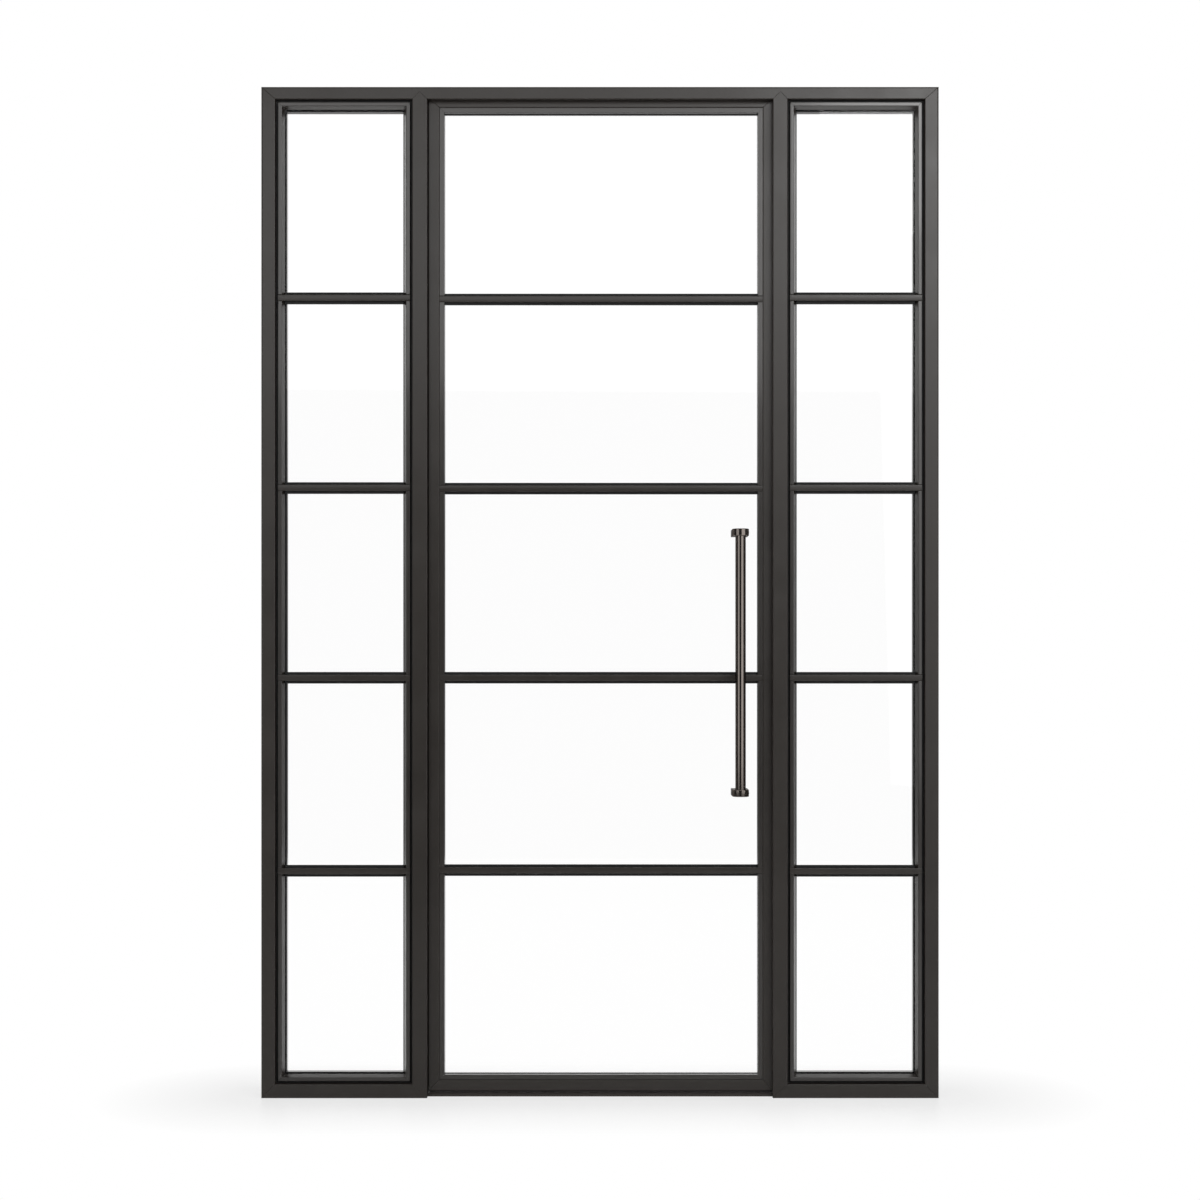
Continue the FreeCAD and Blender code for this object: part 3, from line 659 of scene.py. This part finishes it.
arms_low, arms_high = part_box("handle_brackets")
arm_thickness = 0.017
arm_arris = 0.0018
socket_clearance = 0.0007
socket_depth = 0.0016
socket_arris_share = 0.12
arm_reach = arms_high.y - bar_axis.y
arm_half = bar_axis.y - arms_low.y
socket_radius = bar_radius + socket_clearance

# The bracket's outline is half a circle about the bar in front and straight sides behind, taken
# at the same bearings as the socket, with one at each back corner.
back_corner = math.atan2(arm_reach, arm_half)
bearings = sorted([math.radians(step) for step in range(0, 360, 6)]
                  + [back_corner, math.pi - back_corner])
outer, inner = [], []
for bearing in bearings:
    across, along = math.cos(bearing), math.sin(bearing)
    reach = arm_half
    if along > 0:
        reach = min(arm_half / max(abs(across), 1e-9), arm_reach / along)
    outer.append((bar_axis.x + reach * across, bar_axis.y + reach * along))
    inner.append((bar_axis.x + socket_radius * across, bar_axis.y + socket_radius * along))

for name, socket_face, closed_face in (
        ("low_bracket", arms_low.z + arm_thickness, arms_low.z),
        ("high_bracket", arms_high.z - arm_thickness, arms_high.z)):
    into = math.copysign(socket_depth, closed_face - socket_face)
    made = bmesh.new()
    levels = [[made.verts.new((x, y, z)) for x, y in loop]
              for loop, z in ((outer, closed_face), (outer, socket_face),
                              (inner, socket_face), (inner, socket_face + into))]
    made.faces.new(levels[0])
    made.faces.new(levels[3])
    joined(made, levels)
    bmesh.ops.recalc_face_normals(made, faces=made.faces)
    weight = made.edges.layers.float.new("bevel_weight_edge")
    for edge in made.edges:
        if edge.calc_face_angle(0.0) > math.radians(30):
            from_axis = (edge.verts[0].co - bar_axis).xy.length
            on_outline = from_axis > (socket_radius + arm_half) / 2
            edge[weight] = 1.0 if on_outline else socket_arris_share
    arm = eased(made, name, arm_arris, bronzed, limit="WEIGHT")
    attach(arm, "leaf")
    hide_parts("handle_brackets")

caps_low, caps_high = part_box("handle_rear_caps")
cap_radius = (caps_high.x - caps_low.x) / 2
cap_thickness = 0.003
cap_rim = (0.0015, 0.0012)
nut_start = caps_low.y + cap_thickness
nut_across_corners = 0.014
nut_flat_depth = 0.0042
nut_rim = (0.0014, 0.001)
dome_radius = 0.0056
dome_sunk = 0.0002
cap_arris = 0.0004
level_turn = Matrix.Rotation(math.radians(-90), 4, "X")


def rimmed_disc(radius, near, far, rim, sides):
    """A disc that faces the back, its far edge chamfered by a width and a depth."""
    rim_width, rim_depth = rim
    return turned([(0.0, near), (radius, near), (radius, far - rim_depth),
                   (radius - rim_width, far), (0.0, far)], level_turn, sides)


disc = rimmed_disc(cap_radius, caps_low.y, nut_start, cap_rim, sides=72)
nut = rimmed_disc(nut_across_corners / 2, nut_start, nut_start + nut_flat_depth, nut_rim, sides=6)
dome_start = nut_start + nut_flat_depth - dome_sunk
dome_height = caps_high.y - dome_start
dome_outline = [(0.0, dome_start)]
for step in range(0, 90, 15):
    climb = math.radians(step)
    dome_outline.append((dome_radius * math.cos(climb), dome_start + dome_height * math.sin(climb)))
dome_outline.append((0.0, caps_high.y))
dome = turned(dome_outline, level_turn, sides=36)

cap_mesh = bpy.data.meshes.new("rear_cap_parts")
cap_parts = bmesh.new()
for part in (disc, nut, dome):
    part.to_mesh(cap_mesh)
    cap_parts.from_mesh(cap_mesh)
    part.free()
rear_cap = eased(cap_parts, "rear_cap", cap_arris, bronzed)

copy_group, given = new_group("copies set out on points",
                              {"Places": "Geometry", "Part": "Object", "Finish": "Material"},
                              "Copies")
part = add(copy_group, "GeometryNodeObjectInfo", {"Object": given["Part"]})
copies = add(copy_group, "GeometryNodeInstanceOnPoints",
             {"Points": given["Places"], "Instance": part.outputs["Geometry"]})
finish_group(copy_group, copies.outputs["Instances"], given["Finish"])

cap_places = [(bar_axis.x, 0.0, caps_low.z + cap_radius),
              (bar_axis.x, 0.0, caps_high.z - cap_radius)]
caps = grown("rear_caps", cap_places, copy_group, {"Part": rear_cap, "Finish": bronzed})
bpy.data.objects.remove(rear_cap)
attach(caps, "leaf")
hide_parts("handle_rear_caps")
finish_node("handle_studs", bronzed)


# Handle washers. Pads and sleeves of black moulded nylon on the handle's bolts, which keep the
# bolts and brackets off the glass.

# A plain satin black, its sheen broken by the faint mottle of the mould.
nylon, tree = new_material("black moulded nylon")
place = add(tree, "ShaderNodeTexCoord").outputs["Object"]
mottle = add(tree, "ShaderNodeTexNoise",
             {"Vector": place, "Scale": pattern_scale(size_mm=4), "Detail": 2.0})
gloss = add(tree, "ShaderNodeMapRange",
            {"Value": mottle.outputs["Fac"], "To Min": 0.38, "To Max": 0.5})
surface = add(tree, "ShaderNodeBsdfPrincipled",
              {"Base Color": linear("#161616"), "Roughness": gloss.outputs["Result"],
               "IOR": 1.53})
add(tree, "ShaderNodeOutputMaterial", {"Surface": surface.outputs["BSDF"]})
finish_node("handle_washers", nylon)


# Hinges. Three lift-off hinges behind the leaf in blackened steel: a lower half screwed to the
# frame, an upper half screwed to the leaf, and a brass ring between them on the pin.

# Nearly black metal with blotches of grey about 14 mm across, where the oiled scale is thinner.
blackened, tree = new_material("blackened oiled steel")
place = add(tree, "ShaderNodeTexCoord").outputs["Object"]
bloom = add(tree, "ShaderNodeTexNoise",
            {"Vector": place, "Scale": pattern_scale(size_mm=14), "Detail": 5.0,
             "Roughness": 0.6})
colour = add(tree, "ShaderNodeMix",
             {"Factor": bloom.outputs["Fac"], "A": linear("#2E2D2C"), "B": linear("#484645")},
             data_type="RGBA")
gloss = add(tree, "ShaderNodeMapRange",
            {"Value": bloom.outputs["Fac"], "To Min": 0.32, "To Max": 0.5})
surface = add(tree, "ShaderNodeBsdfPrincipled",
              {"Base Color": colour.outputs["Result"], "Metallic": 1.0,
               "Roughness": gloss.outputs["Result"]})
add(tree, "ShaderNodeOutputMaterial", {"Surface": surface.outputs["BSDF"]})

pins_low, pins_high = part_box("hinge_pins")
halves_low, halves_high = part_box("hinge_frame_knuckles")
hinge_x, hinge_y = (pins_low.x + pins_high.x) / 2, (pins_low.y + pins_high.y) / 2
knuckle_height = 0.060
hinge_levels = (halves_low.z + knuckle_height,
                (halves_low.z + knuckle_height + halves_high.z) / 2, halves_high.z)
knuckle_gap = 0.0005
knuckle_arris = 0.0007
barrel_radius = halves_high.y - hinge_y
on_axis = Matrix.Translation((0.0, hinge_y, 0.0))
tab_reach = 0.024
tab_near, tab_far = 0.030, 0.034
tab_corner = 0.005


def hinge_half(name, hand, low, high):
    """A rolled barrel with a flat tab on one side, the tab's free corners rounded."""
    made = rod(barrel_radius, low, high, on_axis, sides=48)
    rim = [(0.0, low), (0.0, high)]
    for centre, start in ((high - tab_corner, 90), (low + tab_corner, 0)):
        for turn in range(start, start - 91, -15):
            rim.append((hand * (tab_reach - tab_corner + tab_corner * math.cos(math.radians(turn))),
                        centre + tab_corner * math.sin(math.radians(turn))))
    faces = [[made.verts.new((x, y, z)) for x, z in rim] for y in (tab_near, tab_far)]
    joined(made, faces)
    for face in faces:
        made.faces.new(face)
    bmesh.ops.recalc_face_normals(made, faces=made.faces)
    return eased(made, name, knuckle_arris, blackened)


axis_places = [(hinge_x, 0.0, level) for level in hinge_levels]
for node, body, hand, low, high in (
        ("hinge_frame_knuckles", "frame", -1, -knuckle_height, 0.0),
        ("hinge_leaf_knuckles", "leaf", 1, knuckle_gap, knuckle_gap + knuckle_height)):
    half = hinge_half(f"{node}_one", hand, low, high)
    halves = grown(f"{node}_set", axis_places, copy_group, {"Part": half, "Finish": blackened})
    bpy.data.objects.remove(half)
    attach(halves, body)
    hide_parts(node)
finish_node("hinge_pins", blackened)

ring_radius = 0.0064
ring_low, ring_high = 0.00008, 0.00042
ring_arris = 0.00008

# A thin bright line of yellow metal, dulled by spots of tarnish about 5 mm across.
brass, tree = new_material("turned brass ring")
place = add(tree, "ShaderNodeTexCoord").outputs["Object"]
tarnish = add(tree, "ShaderNodeTexNoise",
              {"Vector": place, "Scale": pattern_scale(size_mm=5), "Detail": 3.0})
colour = add(tree, "ShaderNodeMix",
             {"Factor": tarnish.outputs["Fac"], "A": linear("#8A6A35"), "B": linear("#B38F4E")},
             data_type="RGBA")
surface = add(tree, "ShaderNodeBsdfPrincipled",
              {"Base Color": colour.outputs["Result"], "Metallic": 1.0, "Roughness": 0.35})
add(tree, "ShaderNodeOutputMaterial", {"Surface": surface.outputs["BSDF"]})
ring = eased(rod(ring_radius, ring_low, ring_high, on_axis, sides=40),
             "hinge_ring_one", ring_arris, brass)
rings = grown("hinge_rings", axis_places, copy_group, {"Part": ring, "Finish": brass})
bpy.data.objects.remove(ring)
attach(rings, "frame")


# Screws. Countersunk steel screws with hexagon sockets, blackened: two in each hinge tab, and
# four in the threshold. A set screw at the side of each bracket grips the handle's bar.

screw_group, given = new_group(
    "countersunk screws",
    {"Places": "Geometry", "Head width": "Float", "Shank width": "Float", "Head height": "Float",
     "Socket width": "Float", "Socket depth": "Float", "Facing": "Vector", "Seed": "Int",
     "Finish": "Material"}, "Screws")
head_radius, shank_radius, hexagon_radius, cutter_height, sunk = (
    add(screw_group, "ShaderNodeMath", {0: given[label], 1: factor},
        operation="MULTIPLY").outputs["Value"]
    for label, factor in (("Head width", 0.5), ("Shank width", 0.5), ("Socket width", 0.5),
                          ("Socket depth", 2.0), ("Head height", -1.0)))
cone = add(screw_group, "GeometryNodeMeshCone",
           {"Vertices": 32, "Radius Top": head_radius, "Radius Bottom": shank_radius,
            "Depth": given["Head height"]})
drop = add(screw_group, "ShaderNodeCombineXYZ", {"Z": sunk})
head = add(screw_group, "GeometryNodeTransform",
           {"Geometry": cone.outputs["Mesh"], "Translation": drop.outputs["Vector"]})
hexagon = add(screw_group, "GeometryNodeMeshCylinder",
              {"Vertices": 6, "Radius": hexagon_radius, "Depth": cutter_height})
cut_head = add(screw_group, "GeometryNodeMeshBoolean",
               {"Mesh 1": head.outputs["Geometry"], "Mesh 2": hexagon.outputs["Mesh"]},
               operation="DIFFERENCE", solver="EXACT")
aimed = add(screw_group, "FunctionNodeEulerToRotation", {"Euler": given["Facing"]})
set_out = add(screw_group, "GeometryNodeInstanceOnPoints",
              {"Points": given["Places"], "Instance": cut_head.outputs["Mesh"],
               "Rotation": aimed.outputs["Rotation"]})
chance = add(screw_group, "FunctionNodeRandomValue",
             {"Min": (0.0, 0.0, 0.0), "Max": (0.0, 0.0, math.tau), "Seed": given["Seed"]},
             data_type="FLOAT_VECTOR")
driven = add(screw_group, "GeometryNodeRotateInstances",
             {"Instances": set_out.outputs["Instances"], "Rotation": chance.outputs["Value"]})
finish_group(screw_group, driven.outputs["Instances"], given["Finish"])

tab_screw = {"Head width": 0.0085, "Shank width": 0.0042, "Head height": 0.0023,
             "Socket width": 0.0034, "Socket depth": 0.0014, "Facing": (-math.pi / 2, 0.0, 0.0),
             "Finish": blackened}
sill_screw = {"Head width": 0.0095, "Shank width": 0.0048, "Head height": 0.0026,
              "Socket width": 0.0038, "Socket depth": 0.0016, "Facing": (0.0, 0.0, 0.0),
              "Finish": blackened}
set_screw = {"Head width": 0.0052, "Shank width": 0.0056, "Head height": 0.0025,
             "Socket width": 0.0030, "Socket depth": 0.0018, "Facing": (0.0, math.pi / 2, 0.0),
             "Finish": bronzed}
proud = 0.0001
tab_middle = 0.0155
screw_spread = 0.018
sill_spread = 0.36
frame_tab_middles = [level - knuckle_height / 2 for level in hinge_levels]
leaf_tab_middles = [level + knuckle_gap + knuckle_height / 2 for level in hinge_levels]
sill_x = (threshold_low.x + threshold_high.x) / 2
sill_y = (threshold_low.y + threshold_high.y) / 2
arm_middles = (arms_low.z + arm_thickness / 2, arms_high.z - arm_thickness / 2)
for seed, (name, body, slot, sizes, places) in enumerate((
        ("frame_hinge_screws", "frame", "hinge_metal", tab_screw,
         [(hinge_x - tab_middle, tab_far + proud, middle + side * screw_spread)
          for middle in frame_tab_middles for side in (-1, 1)]),
        ("leaf_hinge_screws", "leaf", "hinge_metal", tab_screw,
         [(hinge_x + tab_middle, tab_far + proud, middle + side * screw_spread)
          for middle in leaf_tab_middles for side in (-1, 1)]),
        ("threshold_screws", "frame", "hinge_metal", sill_screw,
         [(sill_x + share * sill_spread, sill_y, threshold_high.z + proud)
          for share in (-1.0, -1 / 3, 1 / 3, 1.0)]),
        ("bracket_set_screws", "leaf", "handle_metal", set_screw,
         [(arms_high.x + 3 * proud, bar_axis.y, middle) for middle in arm_middles]))):
    screws = grown(name, places, screw_group, dict(sizes, Seed=seed))
    screws.data.set_sharp_from_angle(angle=math.radians(30))
    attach(screws, body)
